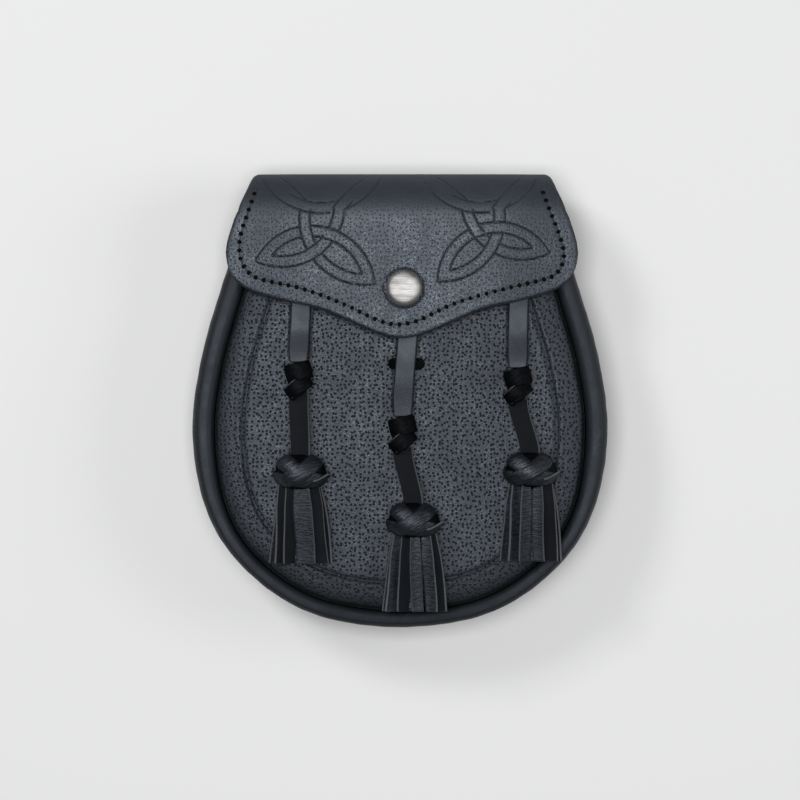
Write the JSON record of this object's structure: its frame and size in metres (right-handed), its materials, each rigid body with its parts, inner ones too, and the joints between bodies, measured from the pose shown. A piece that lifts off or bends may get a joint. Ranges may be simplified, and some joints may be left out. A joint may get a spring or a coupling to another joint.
{
  "type": "sporran pouch",
  "caption": "Black leather day sporran: hollow rounded pouch with rolled rims, a stippled front, a stud-fastened flap with pressed knotwork, hanging tassels and belt loops at the back.",
  "frame": {"origin": "on the surface it lies on, below the middle of its outline", "axes": "it lies on its back: +Z out of the front, +Y up the front towards the fold, +X to the right as seen from the front"},
  "size_m": [0.175, 0.1914, 0.0571],
  "materials": {
    "stippled_leather": "black leather pressed with small pits, low sheen",
    "flap_leather": "black leather with a fine grain that fades to smooth at the fold, pressed knotwork",
    "smooth_leather": "smooth black leather with a soft sheen",
    "strap_leather": "black thong leather, dull flesh side and light cut edges",
    "nickel": "satin nickel plate, lightly brushed"
  },
  "bodies": {
    "root": {"gusset": "smooth_leather", "front_panel": "stippled_leather", "back_panel": "smooth_leather", "flap": "flap_leather", "snap_cap": "nickel", "snap_post": "nickel", "left_strap_upper": "strap_leather", "left_strap_knot": "strap_leather", "left_strap_lower": "strap_leather", "left_tassel_head": "strap_leather", "left_tassel_skirt": "strap_leather", "centre_strap_upper": "strap_leather", "centre_strap_knot": "strap_leather", "centre_strap_lower": "strap_leather", "centre_tassel_head": "strap_leather", "centre_tassel_skirt": "strap_leather", "right_strap_upper": "strap_leather", "right_strap_knot": "strap_leather", "right_strap_lower": "strap_leather", "right_tassel_head": "strap_leather", "right_tassel_skirt": "strap_leather", "belt_loop_left": "smooth_leather", "belt_loop_right": "smooth_leather"}
  },
  "joints": []
}
